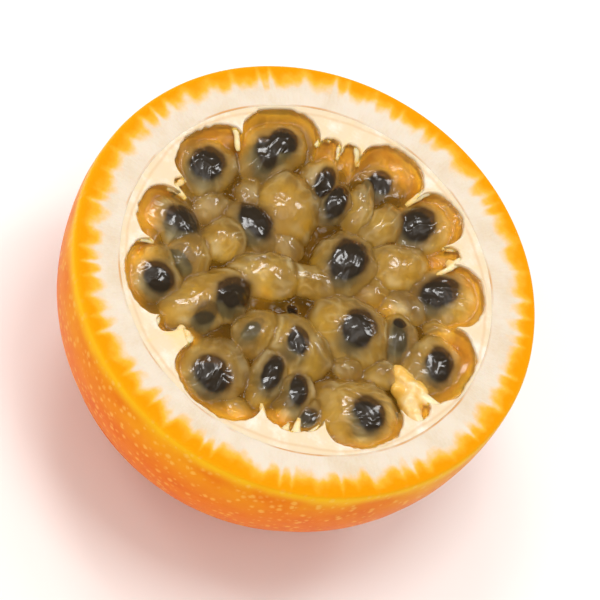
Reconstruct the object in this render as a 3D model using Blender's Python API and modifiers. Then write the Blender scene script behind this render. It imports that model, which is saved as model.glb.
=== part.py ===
# Half of a round, thick-rinded passion fruit, cut across its middle and lying with the cut face up.
# Three solids nest in one another: the bowl of the rind, its soft lining with folds, and the pulp.
# Lengths are metres, angles are degrees, the origin is the centre of the foot, and +Z is up.

import math

import bmesh
import bpy
from mathutils import Matrix

MM = 0.001

# The whole fruit is a ball, and the cut passes a little above its middle.
SKIN_RADIUS = 35.2 * MM
CENTRE_DROP = 3.4 * MM
FACE_HEIGHT = 38.0 * MM
BALL_HEIGHT = FACE_HEIGHT - CENTRE_DROP
RIM_ROUNDING = 0.4 * MM

# Wall thicknesses, with a gap between pieces that lie against each other.
RIND_WALL = 6.85 * MM
LINING_WALL = 1.0 * MM
GAP = 0.3 * MM
CLEARANCE_MARGIN = 4.0 * MM
RIND_INNER = SKIN_RADIUS - RIND_WALL
LINING_OUTER = RIND_INNER - GAP
LINING_INNER = LINING_OUTER - LINING_WALL

RIND_STEPS = 64
RIND_INNER_ROWS = 8
RIND_OUTER_ROWS = 10
LINING_STEPS = 120
LINING_OUTER_ROWS = 6
CORE_STEPS = 60

# Elevations, seen from the fruit's centre, of the rows of points on the lining's inner side. The
# pulp's core has the last five rows too, so that its sides run along the lining's.
LINING_ROWS = [4.0, -2.6, -12.0, -26.0, -44.0, -66.0, -90.0]
CORE_ROWS = LINING_ROWS[1:]

# Thin folds of the lining that stand in between the arils, as (place, how far in they reach from
# the fruit's axis, half of their width at the wall). Places are degrees round the face.
FOLD_DEPTH = 13.0 * MM
FOLD_SHARPNESS = 1.6
FOLDS = [
    (21.0, 22.4 * MM, 6.0),
    (51.0, 22.6 * MM, 8.0),
    (75.0, 24.4 * MM, 7.0),
    (96.0, 23.2 * MM, 6.0),
    (105.0, 22.7 * MM, 6.5),
    (114.0, 22.8 * MM, 7.0),
    (144.0, 25.6 * MM, 9.0),
    (171.0, 22.4 * MM, 6.0),
    (183.0, 23.6 * MM, 7.5),
    (201.0, 22.8 * MM, 6.0),
    (231.0, 23.6 * MM, 5.5),
    (240.0, 21.4 * MM, 9.0),
    (285.0, 22.2 * MM, 8.0),
    (306.0, 22.2 * MM, 9.5),
    (345.0, 21.8 * MM, 9.0),
]

# Broad cushions of the lining, where the arils' stalks grow, as (place, reach, half width).
CUSHIONS = [
    (107.5, 25.2 * MM, 16.0),
    (236.0, 25.0 * MM, 15.0),
    (293.0, 25.0 * MM, 15.0),
    (346.0, 25.0 * MM, 14.0),
]

# The gel that the arils sit in: a crown that is lower at the wall than at the middle.
CORE_CLEARANCE = 0.6 * MM
CORE_CROWN_DEPTH = 2.6 * MM
CORE_CROWN_ROWS = 3

# Arils as (x, y, half length, half width, turn of the length, height of the top over the cut face),
# all but the turn in millimetres. The outer ring comes first, then the middle, then small ones.
ARIL_SEGMENTS = 12
ARIL_RINGS = 7
ARIL_FULLNESS = 1.16
ARIL_DEPTH_RATIO = 0.9
ARILS = [
    (22.4, 1.2, 5.4, 4.5, 85, -0.4),
    (18.7, 12.6, 5.2, 4.7, 20, -0.3),
    (10.0, 20.1, 4.7, 4.5, 60, -0.3),
    (1.0, 22.6, 4.6, 3.4, 0, -2.0),
    (-6.4, 17.4, 3.8, 3.0, 100, -1.4),
    (-14.6, 16.4, 6.2, 4.3, 75, -0.2),
    (-21.2, 7.8, 4.9, 4.5, 100, -0.3),
    (-20.8, -3.4, 5.2, 4.4, 165, -0.8),
    (-18.9, -12.6, 5.0, 4.5, 80, -0.3),
    (-10.4, -11.4, 7.2, 4.2, 66, 0.2),
    (-4.0, -20.6, 6.2, 5.3, 85, 0.0),
    (3.2, -16.4, 5.4, 2.8, 95, -0.5),
    (8.2, -16.0, 4.7, 2.5, 98, -0.8),
    (17.2, -13.2, 6.5, 6.2, 40, 0.4),
    (9.8, -1.2, 5.4, 4.6, 170, 0.8),
    (3.5, 7.2, 4.9, 4.0, 90, 0.4),
    (10.2, 12.0, 4.3, 3.2, 60, -0.2),
    (-8.0, 10.1, 5.0, 4.1, 100, 0.5),
    (-10.6, 3.7, 4.0, 3.3, 160, -0.6),
    (-13.2, -0.8, 3.6, 2.6, 75, -0.2),
    (-5.4, -1.6, 4.8, 3.0, 35, 0.1),
    (4.6, -8.6, 5.2, 3.8, 160, 0.2),
    (-1.8, -10.6, 4.0, 2.6, 78, -0.4),
    (14.0, 7.2, 4.0, 3.0, 30, -1.6),
    (15.6, 2.2, 3.6, 2.7, 110, -0.9),
    (4.8, 16.6, 4.1, 2.6, 75, -0.6),
    (0.4, 17.0, 4.2, 1.8, 100, -0.9),
    (-2.8, 14.8, 3.7, 2.0, 95, -1.0),
    (0.4, 1.8, 4.4, 2.6, 10, -0.8),
    (-16.4, -6.0, 3.6, 3.2, 90, -0.6),
    (-13.6, 8.8, 3.2, 2.5, 110, -1.8),
    (-17.6, 3.2, 3.0, 2.4, 30, -1.6),
    (2.6, -23.6, 3.1, 2.2, 10, -1.6),
    (11.4, -17.4, 2.7, 1.7, 95, -1.5),
    (12.2, -7.2, 2.0, 1.8, 0, -1.2),
    (17.0, -4.4, 2.4, 1.9, 60, -1.0),
    (20.6, 6.9, 2.6, 1.7, 20, -1.2),
    (8.8, 6.2, 2.6, 2.0, 40, -1.6),
    (-5.4, 5.0, 2.8, 2.1, 120, -1.5),
    (7.2, -21.6, 1.9, 1.6, 0, -2.0),
]

RIND_COLOUR = (0.91, 0.36, 0.05, 1.0)
LINING_COLOUR = (0.95, 0.84, 0.62, 1.0)
PULP_COLOUR = (0.55, 0.36, 0.10, 1.0)


def clear_scene():
    for thing in list(bpy.data.objects):
        bpy.data.objects.remove(thing, do_unlink=True)


def new_collection(name):
    collection = bpy.data.collections.new(name)
    bpy.context.scene.collection.children.link(collection)
    return collection


def finish_material(name, colour, roughness):
    material = bpy.data.materials.new(name)
    material.use_nodes = True
    shader = material.node_tree.nodes["Principled BSDF"]
    shader.inputs["Base Color"].default_value = colour
    shader.inputs["Roughness"].default_value = roughness
    shader.inputs["Metallic"].default_value = 0.0
    return material


def face_elevation(radius):
    # Where a ball of this radius about the fruit's centre meets the cut face.
    return math.degrees(math.asin(CENTRE_DROP / radius))


def ball_arc(radius, elevations):
    # Points of a circle about the fruit's centre, as (distance from the axis, height).
    points = []
    for elevation in elevations:
        angle = math.radians(elevation)
        points.append((radius * math.cos(angle), BALL_HEIGHT + radius * math.sin(angle)))
    return points


def even_steps(start, end, count):
    return [start + (end - start) * index / count for index in range(count + 1)]


def turned(name, profile, steps, collection):
    # A profile in the XZ plane, turned round the Z axis and left as a plain mesh.
    mesh = bpy.data.meshes.new(name)
    points = [(max(distance, 0.0), 0.0, height) for distance, height in profile]
    edges = [(index, index + 1) for index in range(len(points) - 1)]
    mesh.from_pydata(points, edges, [])
    piece = bpy.data.objects.new(name, mesh)
    collection.objects.link(piece)
    screw = piece.modifiers.new("turn", "SCREW")
    screw.axis = "Z"
    screw.angle = math.radians(360.0)
    screw.steps = steps
    screw.render_steps = steps
    screw.use_merge_vertices = True
    screw.merge_threshold = 0.00001
    screw.use_smooth_shade = True
    apply_modifiers(piece)
    return piece


def apply_modifiers(piece):
    view = bpy.context.evaluated_depsgraph_get()
    old = piece.data
    piece.data = bpy.data.meshes.new_from_object(piece.evaluated_get(view))
    piece.data.name = piece.name
    piece.modifiers.clear()
    bpy.data.meshes.remove(old)


def boolean(piece, operation, cutter=None, group=None):
    join = piece.modifiers.new(operation.lower(), "BOOLEAN")
    join.operation = operation
    join.solver = "EXACT"
    if group is None:
        join.object = cutter
    else:
        join.operand_type = "COLLECTION"
        join.collection = group
    apply_modifiers(piece)


def keep_largest_body(piece):
    # Loose scraps and sealed hollows are separate shells of the mesh, and all but the largest go.
    body = bmesh.new()
    body.from_mesh(piece.data)
    bmesh.ops.triangulate(body, faces=body.faces)
    bmesh.ops.remove_doubles(body, verts=body.verts, dist=0.02 * MM)
    bmesh.ops.dissolve_degenerate(body, edges=body.edges, dist=0.01 * MM)
    bmesh.ops.triangulate(body, faces=body.faces)
    shells = []
    seen = set()
    for start in body.verts:
        if start in seen:
            continue
        seen.add(start)
        shell = [start]
        for vertex in shell:
            for edge in vertex.link_edges:
                other = edge.other_vert(vertex)
                if other not in seen:
                    seen.add(other)
                    shell.append(other)
        shells.append(shell)
    shells.sort(key=len, reverse=True)
    for shell in shells[1:]:
        bmesh.ops.delete(body, geom=shell, context="VERTS")
    body.to_mesh(piece.data)
    body.free()


def turn_between(angle, place):
    # Degrees from one place round the face to another, the short way.
    return abs((angle - place + 180.0) % 360.0 - 180.0)


def lining_reach(angle, height, wall):
    # How far the lining's inner side is from the axis, with its folds and cushions.
    depth = max(0.0, FACE_HEIGHT - height)
    fade = max(0.0, 1.0 - depth / FOLD_DEPTH)
    fade = fade * fade * (3.0 - 2.0 * fade)
    push = 0.0
    for place, reach, half_width in FOLDS:
        share = max(0.0, 1.0 - turn_between(angle, place) / half_width)
        push = max(push, (LINING_INNER - reach) * share ** FOLD_SHARPNESS)
    for place, reach, half_width in CUSHIONS:
        share = max(0.0, 1.0 - turn_between(angle, place) / half_width)
        push = max(push, (LINING_INNER - reach) * math.sin(0.5 * math.pi * share) ** 2)
    return wall - push * fade


def fold_inner_side(piece, inner_radius, outer_radius):
    # Moves the points of the inner side in, by the rule for the folds and cushions. The faces are
    # split alike on every piece that has them, so that two such pieces keep their gap.
    middle = 0.5 * (inner_radius + outer_radius)
    body = bmesh.new()
    body.from_mesh(piece.data)
    for vertex in body.verts:
        distance = math.hypot(vertex.co.x, vertex.co.y)
        if vertex.co.z < FACE_HEIGHT - FOLD_DEPTH:
            continue
        if math.hypot(distance, vertex.co.z - BALL_HEIGHT) > middle:
            continue
        angle = math.degrees(math.atan2(vertex.co.y, vertex.co.x))
        scale = lining_reach(angle, vertex.co.z, distance) / distance
        vertex.co.x *= scale
        vertex.co.y *= scale
    bmesh.ops.triangulate(body, faces=body.faces, quad_method="FIXED")
    body.to_mesh(piece.data)
    body.free()


def make_rind(collection):
    foot_elevation = -math.degrees(math.asin(BALL_HEIGHT / SKIN_RADIUS))
    inner = ball_arc(RIND_INNER, even_steps(-90.0, face_elevation(RIND_INNER), RIND_INNER_ROWS))
    face_edge = math.sqrt(SKIN_RADIUS ** 2 - CENTRE_DROP ** 2)
    rim_elevation = math.degrees(math.asin((CENTRE_DROP - RIM_ROUNDING) / SKIN_RADIUS))
    outer = ball_arc(SKIN_RADIUS, even_steps(rim_elevation, foot_elevation, RIND_OUTER_ROWS))
    profile = inner + [(face_edge - RIM_ROUNDING, FACE_HEIGHT)] + outer + [(0.0, 0.0)]
    rind = turned("rind", profile, RIND_STEPS, collection)
    rind.data.set_sharp_from_angle(angle=math.radians(35.0))
    rind.data.materials.append(finish_material("rind", RIND_COLOUR, 0.45))
    return rind


def lining_profile(inner_radius, outer_radius, rise):
    # From the pole of the inner side up to the rim, across it, and down to the outer pole. The rim
    # may stand over the cut face.
    inner = ball_arc(inner_radius, LINING_ROWS[::-1] + [face_elevation(inner_radius)])
    outer_rows = even_steps(face_elevation(outer_radius), -90.0, LINING_OUTER_ROWS)
    outer = ball_arc(outer_radius, outer_rows)
    if rise > 0.0:
        inner.append((inner[-1][0], FACE_HEIGHT + rise))
        outer.insert(0, (outer[0][0], FACE_HEIGHT + rise))
    return inner + outer


def make_lining(collection):
    profile = lining_profile(LINING_INNER, LINING_OUTER, 0.0)
    lining = turned("lining", profile, LINING_STEPS, collection)
    fold_inner_side(lining, LINING_INNER, LINING_OUTER)
    lining.data.set_sharp_from_angle(angle=math.radians(40.0))
    lining.data.materials.append(finish_material("lining", LINING_COLOUR, 0.4))
    return lining


def make_clearance(collection):
    # The lining again, a gap larger and taller, to trim the arils that would touch it.
    inner_radius = LINING_INNER - GAP
    outer_radius = LINING_OUTER + CLEARANCE_MARGIN
    profile = lining_profile(inner_radius, outer_radius, CLEARANCE_MARGIN)
    cutter = turned("lining_clearance", profile, LINING_STEPS, collection)
    fold_inner_side(cutter, inner_radius, outer_radius)
    cutter.hide_render = True
    cutter.display_type = "WIRE"
    return cutter


def make_core(collection):
    # The gel under and between the arils fills the lining up to a low crown.
    side = ball_arc(LINING_INNER - CORE_CLEARANCE, CORE_ROWS)
    edge, edge_height = side[0]
    rise = FACE_HEIGHT - CORE_CROWN_DEPTH - edge_height
    crown = []
    for share in even_steps(0.0, 1.0, CORE_CROWN_ROWS)[:-1]:
        crown.append((edge * share, edge_height + rise * (1.0 - share ** 2)))
    return turned("pulp", crown + side, CORE_STEPS, collection)


def make_arils(group):
    for index, (x, y, length, width, turn, rise) in enumerate(ARILS):
        body = bmesh.new()
        bmesh.ops.create_uvsphere(body, u_segments=ARIL_SEGMENTS, v_segments=ARIL_RINGS, radius=1.0)
        length *= ARIL_FULLNESS * MM
        width *= ARIL_FULLNESS * MM
        depth = ARIL_DEPTH_RATIO * 0.5 * (length + width)
        shape = Matrix.Diagonal((length, width, depth, 1.0))
        place = Matrix.Translation((x * MM, y * MM, FACE_HEIGHT + rise * MM - depth))
        body.transform(place @ Matrix.Rotation(math.radians(turn), 4, "Z") @ shape)
        mesh = bpy.data.meshes.new("aril")
        body.to_mesh(mesh)
        body.free()
        group.objects.link(bpy.data.objects.new("aril_%02d" % index, mesh))


def make_pulp(collection, group, cutter):
    pulp = make_core(collection)
    make_arils(group)
    boolean(pulp, "UNION", group=group)
    for aril in list(group.objects):
        bpy.data.objects.remove(aril, do_unlink=True)
    boolean(pulp, "DIFFERENCE", cutter=cutter)
    keep_largest_body(pulp)
    pulp.data.shade_smooth()
    pulp.data.set_sharp_from_angle(angle=math.radians(50.0))
    pulp.data.materials.clear()
    pulp.data.materials.append(finish_material("pulp", PULP_COLOUR, 0.15))
    return pulp


def main():
    clear_scene()
    fruit = new_collection("passion_fruit_half")
    guides = new_collection("guides")
    arils = new_collection("arils")
    make_rind(fruit)
    make_lining(fruit)
    make_pulp(fruit, arils, make_clearance(guides))
    bpy.data.collections.remove(arils)


main()
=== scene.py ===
# Half of a round orange passion fruit: rind, lining, jelly and seeds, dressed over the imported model
import math
import random

import bmesh
import bpy
import numpy as np
from mathutils import Matrix, Vector, noise


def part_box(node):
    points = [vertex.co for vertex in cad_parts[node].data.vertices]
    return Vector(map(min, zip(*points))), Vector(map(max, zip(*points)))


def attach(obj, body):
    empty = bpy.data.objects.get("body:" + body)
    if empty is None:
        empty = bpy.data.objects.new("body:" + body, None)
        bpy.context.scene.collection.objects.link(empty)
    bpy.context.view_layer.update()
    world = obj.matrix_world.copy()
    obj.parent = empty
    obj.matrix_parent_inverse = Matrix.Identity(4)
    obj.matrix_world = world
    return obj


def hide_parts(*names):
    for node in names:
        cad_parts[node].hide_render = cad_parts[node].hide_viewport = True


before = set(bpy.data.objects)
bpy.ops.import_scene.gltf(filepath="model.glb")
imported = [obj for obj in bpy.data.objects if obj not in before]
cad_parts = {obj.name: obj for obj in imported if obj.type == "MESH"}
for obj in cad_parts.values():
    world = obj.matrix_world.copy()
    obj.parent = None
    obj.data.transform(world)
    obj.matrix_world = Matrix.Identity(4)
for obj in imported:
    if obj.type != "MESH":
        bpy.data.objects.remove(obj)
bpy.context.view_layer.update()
mm = 0.001

# The fruit as a whole, in metres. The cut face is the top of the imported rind.
fruit = {
    "faceHeight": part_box("rind")[1].z,
    "skinRadius": 35.13 * mm,
    "centreDrop": 3.4 * mm,
    "rindInner": 28.2 * mm,
    "liningOuter": 28.19 * mm,
    "liningInner": 27.0 * mm,
}
ballHeight = fruit["faceHeight"] - fruit["centreDrop"]

# Folds of the lining, in order round the face: place in degrees, how near the axis the tip comes in mm,
# and how far from the axis the rounded pocket after it goes in mm.
folds = [
    (19.5, 22.4, 27.1),
    (44.8, 22.6, 24.7),
    (52.0, 22.9, 27.5),
    (74.0, 23.0, 27.7),
    (98.3, 22.7, 24.4),
    (106.0, 22.5, 24.2),
    (114.3, 23.0, 27.8),
    (142.5, 23.8, 27.4),
    (172.5, 23.0, 23.9),
    (178.0, 22.0, 26.6),
    (201.8, 23.2, 27.2),
    (231.3, 23.7, 24.8),
    (239.3, 20.9, 21.6),
    (246.8, 22.2, 27.6),
    (283.5, 22.0, 24.8),
    (306.0, 22.6, 27.4),
    (337.0, 23.8, 26.6),
    (347.5, 24.8, 27.7),
]

# How deep under the face the folds fade out, in mm, and how square their pockets are.
foldShape = {
    "fadeDepth": 13.0,
    "squareness": 2.3,
}

# Arils: middle x and y, half length, half width (mm), turn in degrees, top over the cut face (mm).
arils = [
    (22.4, 1.2, 5.4, 4.5, 85, -0.4),
    (18.7, 12.6, 5.2, 4.7, 20, -0.3),
    (10.0, 20.1, 4.7, 4.5, 60, -0.3),
    (1.0, 22.6, 4.6, 3.4, 0, -2.0),
    (-6.4, 17.4, 3.8, 3.0, 100, -1.4),
    (-14.6, 16.4, 6.2, 4.3, 75, -0.2),
    (-21.2, 7.8, 4.9, 4.5, 100, -0.3),
    (-20.8, -3.4, 5.2, 4.4, 165, -0.8),
    (-18.9, -12.6, 5.0, 4.5, 80, -0.3),
    (-10.2, -11.0, 7.8, 4.2, 66, 0.3),
    (-4.0, -20.6, 6.2, 5.3, 85, 0.0),
    (3.2, -16.4, 5.4, 2.8, 95, -0.5),
    (8.2, -16.0, 4.7, 2.5, 98, -0.8),
    (17.2, -13.2, 6.5, 6.2, 40, 0.4),
    (9.8, -1.2, 5.4, 4.6, 170, 0.8),
    (3.5, 7.2, 4.9, 4.0, 90, 0.4),
    (10.2, 12.0, 4.3, 3.2, 60, -0.2),
    (-8.0, 10.1, 5.0, 4.1, 100, 0.5),
    (-10.6, 3.7, 4.0, 3.3, 160, -0.6),
    (-13.2, -0.8, 3.6, 2.6, 75, -0.2),
    (-5.4, -1.6, 4.8, 3.0, 35, 0.1),
    (4.6, -8.6, 5.2, 3.8, 160, 0.2),
    (-1.8, -10.6, 4.0, 2.6, 78, -0.4),
    (14.0, 7.2, 4.0, 3.0, 30, -1.6),
    (15.6, 2.2, 3.6, 2.7, 110, -0.9),
    (4.8, 16.6, 4.1, 2.6, 75, -0.6),
    (0.4, 17.0, 4.2, 1.8, 100, -0.9),
    (-2.8, 14.8, 3.7, 2.0, 95, -1.0),
    (0.4, 1.8, 4.4, 2.6, 10, -0.8),
    (-16.4, -6.0, 3.6, 3.2, 90, -0.6),
    (-13.6, 8.8, 3.2, 2.5, 110, -1.8),
    (-17.6, 3.2, 3.0, 2.4, 30, -1.6),
    (2.6, -23.6, 3.1, 2.2, 10, -1.6),
    (11.4, -17.4, 2.7, 1.7, 95, -1.5),
    (12.2, -7.2, 2.0, 1.8, 0, -1.2),
    (17.0, -4.4, 2.4, 1.9, 60, -1.0),
    (20.6, 6.9, 2.6, 1.7, 20, -1.2),
    (8.8, 6.2, 2.6, 2.0, 40, -1.6),
    (-5.4, 5.0, 2.8, 2.1, 120, -1.5),
    (7.2, -21.6, 1.9, 1.6, 0, -2.0),
]

# Seeds: middle x and y, half length, half width (mm), turn in degrees, and how deep they lie in the jelly,
# where 0 is just under its top and the deepest are only a shade in it.
seeds = [
    (9.0, 19.4, 2.9, 2.5, 90, 0.8),
    (17.0, 11.8, 2.9, 2.4, 60, 0.8),
    (22.8, 1.4, 3.0, 2.0, 115, 0.8),
    (1.0, 22.4, 2.1, 1.9, 0, 1.2),
    (-14.0, 17.9, 2.7, 2.1, 60, 0.9),
    (-15.1, 14.6, 3.0, 1.8, 125, 1.3),
    (-21.3, 7.7, 3.0, 2.6, 90, 0.8),
    (-5.6, 16.8, 2.7, 1.5, 100, 0.7),
    (-2.7, 15.0, 3.2, 1.5, 100, 0.8),
    (3.5, 7.2, 3.7, 2.7, 95, 0.6),
    (15.9, 1.6, 2.8, 1.5, 115, 1.6),
    (10.2, -1.8, 3.1, 2.6, 110, 0.5),
    (-11.0, 4.4, 3.2, 2.3, 150, 0.5),
    (-7.2, 8.2, 2.6, 2.2, 90, 2.6),
    (-19.6, -2.2, 2.9, 2.2, 30, 0.8),
    (-16.6, -7.4, 2.6, 1.4, 170, 1.8),
    (-17.9, -13.1, 2.5, 2.3, 0, 0.5),
    (-7.6, -8.2, 3.3, 2.3, 65, 0.6),
    (-9.3, -13.8, 2.3, 1.6, 60, 1.5),
    (-3.5, -21.8, 3.1, 2.6, 170, 0.4),
    (4.0, -9.2, 2.2, 1.5, 130, 0.8),
    (3.5, -15.6, 3.3, 1.5, 100, 0.8),
    (8.0, -15.5, 2.9, 1.3, 115, 0.8),
    (11.5, -17.9, 1.6, 1.3, 100, 1.4),
    (18.3, -12.8, 2.9, 2.5, 150, 0.7),
    (-2.4, -11.2, 2.2, 1.2, 80, 1.8),
    (0.8, -3.7, 0.9, 0.8, 0, 0.5),
    (14.8, 3.6, 1.0, 0.9, 0, 0.6),
    (-2.7, -1.0, 1.2, 1.2, 0, 2.3),
]


def newMaterial(name):
    material = bpy.data.materials.new(name)
    material.use_nodes = True
    tree = material.node_tree
    shader = tree.nodes["Principled BSDF"]
    return material, tree, shader


def putValue(tree, socket, value):
    # A plain value is set on the socket, and another socket is linked to it.
    if isinstance(value, bpy.types.NodeSocket):
        tree.links.new(value, socket)
    else:
        socket.default_value = value


def addNode(tree, kind, settings=None, **inputs):
    # A node with its settings and inputs, where i0 and the like are inputs by their number.
    node = tree.nodes.new(kind)
    for key, value in (settings or {}).items():
        setattr(node, key, value)
    for key, value in inputs.items():
        socket = node.inputs[int(key[1:])] if key[0] == "i" and key[1:].isdigit() else node.inputs[key]
        putValue(tree, socket, value)
    return node


def mathNode(tree, operation, first, second=0.0, third=0.0):
    node = addNode(tree, "ShaderNodeMath", {"operation": operation}, i0=first, i1=second, i2=third)
    return node.outputs[0]


def scaled(tree, value, factor, offset):
    return mathNode(tree, "MULTIPLY_ADD", value, factor, offset)


def product(tree, first, second):
    return mathNode(tree, "MULTIPLY", first, second)


def mixColour(tree, factor, first, second):
    node = tree.nodes.new("ShaderNodeMix")
    node.data_type = "RGBA"
    for place, value in ((0, factor), (6, first), (7, second)):
        putValue(tree, node.inputs[place], value)
    return node.outputs[2]


def smoothStep(tree, value, low, high):
    settings = {"interpolation_type": "SMOOTHSTEP"}
    return addNode(tree, "ShaderNodeMapRange", settings, i0=value, i1=low, i2=high).outputs[0]


def noiseAt(tree, coordinates, scale, detail=2.0, roughness=0.5):
    node = addNode(tree, "ShaderNodeTexNoise", None, Vector=coordinates, Scale=scale, Detail=detail,
                   Roughness=roughness)
    return node.outputs[0]


def pointValue(tree, name):
    # A number that setValues put on the piece's points.
    return addNode(tree, "ShaderNodeAttribute", {"attribute_name": name}).outputs["Fac"]


def objectPlace(tree):
    return addNode(tree, "ShaderNodeTexCoord").outputs["Object"]


def facePlace(tree, place):
    # A place's x, y and z, its distance from the axis and its direction round the axis.
    parts = addNode(tree, "ShaderNodeSeparateXYZ", None, i0=place).outputs
    flat = addNode(tree, "ShaderNodeCombineXYZ", None, X=parts[0], Y=parts[1]).outputs[0]
    radius = addNode(tree, "ShaderNodeVectorMath", {"operation": "LENGTH"}, i0=flat).outputs[1]
    around = addNode(tree, "ShaderNodeVectorMath", {"operation": "NORMALIZE"}, i0=flat).outputs[0]
    return parts, radius, around


def mixNumber(tree, factor, first, second):
    node = addNode(tree, "ShaderNodeMix", {"data_type": "FLOAT"}, i0=factor, i2=first, i3=second)
    return node.outputs[0]


def addBump(tree, shader, height, strength, distance):
    bump = addNode(tree, "ShaderNodeBump", None, Strength=strength, Distance=distance, Height=height)
    tree.links.new(bump.outputs[0], shader.inputs["Normal"])


def setShader(tree, shader, values):
    for name, value in values.items():
        putValue(tree, shader.inputs[name], value)


def apartFrom(tree, value, other):
    return mathNode(tree, "ABSOLUTE", mathNode(tree, "SUBTRACT", value, other))


def rgb(red, green, blue):
    # A colour as an eye reads it on a screen, turned into the light values that shaders take.
    return tuple(((part / 255.0 + 0.055) / 1.055) ** 2.4 for part in (red, green, blue)) + (1.0,)


def addPiece(name, points, faces, material, smooth=True):
    mesh = bpy.data.meshes.new(name)
    mesh.from_pydata(points, [], faces)
    mesh.validate()
    mesh.polygons.foreach_set("use_smooth", [smooth] * len(mesh.polygons))
    piece = bpy.data.objects.new(name, mesh)
    bpy.context.scene.collection.objects.link(piece)
    mesh.materials.append(material)
    return piece


def setValues(piece, name, values):
    # One number on every point of a piece, for its material to read.
    attribute = piece.data.attributes.new(name, "FLOAT", "POINT")
    attribute.data.foreach_set("value", np.asarray(values, np.float32))


def wallReach(angle, depth=0.0):
    # Distance from the axis to the lining's inner side, in mm, at an angle and a depth under the face.
    angle = np.mod(np.asarray(angle, float), 360.0)
    inner = fruit["liningInner"] / mm
    plain = math.sqrt(inner ** 2 - (fruit["centreDrop"] / mm) ** 2)
    reach = np.zeros_like(angle)
    for index, (place, tip, pocket) in enumerate(folds):
        nextPlace, nextTip, _ = folds[(index + 1) % len(folds)]
        span = (nextPlace - place) % 360.0
        share = np.mod(angle - place, 360.0) / span
        inside = share < 1.0
        t = share[inside]
        cusp = tip + (nextTip - tip) * t
        bulge = (1.0 - np.abs(2.0 * t - 1.0) ** foldShape["squareness"]) ** 0.5
        reach[inside] = cusp + (pocket - cusp) * bulge
    fade = np.clip(1.0 - depth / foldShape["fadeDepth"], 0.0, 1.0)
    fade = fade * fade * (3.0 - 2.0 * fade)
    height = (fruit["centreDrop"] / mm) - depth
    wall = np.sqrt(np.clip(inner ** 2 - height ** 2, 0.0, None))
    return wall + (reach - plain) * fade


def noiseField(x, y, scale, seed):
    return np.array([noise.noise((a * scale, b * scale, seed)) for a, b in zip(x, y)])


def plainMesh(piece):
    # The evaluated mesh of a piece in place of its modifiers.
    bpy.context.view_layer.update()
    graph = bpy.context.evaluated_depsgraph_get()
    mesh = bpy.data.meshes.new_from_object(piece.evaluated_get(graph), depsgraph=graph)
    piece.modifiers.clear()
    old = piece.data
    piece.data = mesh
    bpy.data.meshes.remove(old)
    return piece


def turnedFaces(rows, columns, firstPole, lastPole):
    # Quads of a turned grid whose points are numbered row by row, with poles as single points.
    faces = []
    for row in range(rows - 1):
        for column in range(columns):
            nextColumn = (column + 1) % columns
            a = row * columns + column
            b = row * columns + nextColumn
            faces.append((a, b, b + columns, a + columns))
    last = (rows - 1) * columns
    for column in range(columns):
        nextColumn = (column + 1) % columns
        faces.append((firstPole, nextColumn, column))
        faces.append((lastPole, last + column, last + nextColumn))
    return faces


print("materials")

rindLook = {
    "skinOrange": rgb(240, 121, 0),
    "skinGold": rgb(253, 172, 2),
    "skinRose": rgb(234, 104, 0),
    "rim": rgb(255, 192, 22),
    "fleck": rgb(255, 200, 92),
    "gold": rgb(238, 147, 0),
    "goldPale": rgb(243, 176, 54),
    "pith": rgb(222, 209, 191),
    "pithShade": rgb(213, 193, 165),
    "seam": rgb(206, 152, 94),
    "teeth": 62,
    "toothWander": 3.0,
    "toothSharpness": 2.6,
    "toothDepth": 1.6 * mm,
    "goldEdge": 31.4 * mm,
    "goldBlur": 1.0 * mm,
    "seamWidth": 0.26 * mm,
    "goldSkinDepth": 13.0 * mm,
    "fleckScale": 900.0,
    "fleckSize": 0.42,
    "fleckStrength": 0.5,
    "bump": 0.35,
    "bumpDepth": 0.12 * mm,
    "skinRoughness": 0.36,
    "faceRoughness": 0.6,
    "finish": {
        "Subsurface Weight": 0.15,
        "Subsurface Radius": (1.0, 0.5, 0.2),
        "Subsurface Scale": 0.5 * mm,
        "IOR": 1.14,
        "Specular IOR Level": 0.3,
    },
}


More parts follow.
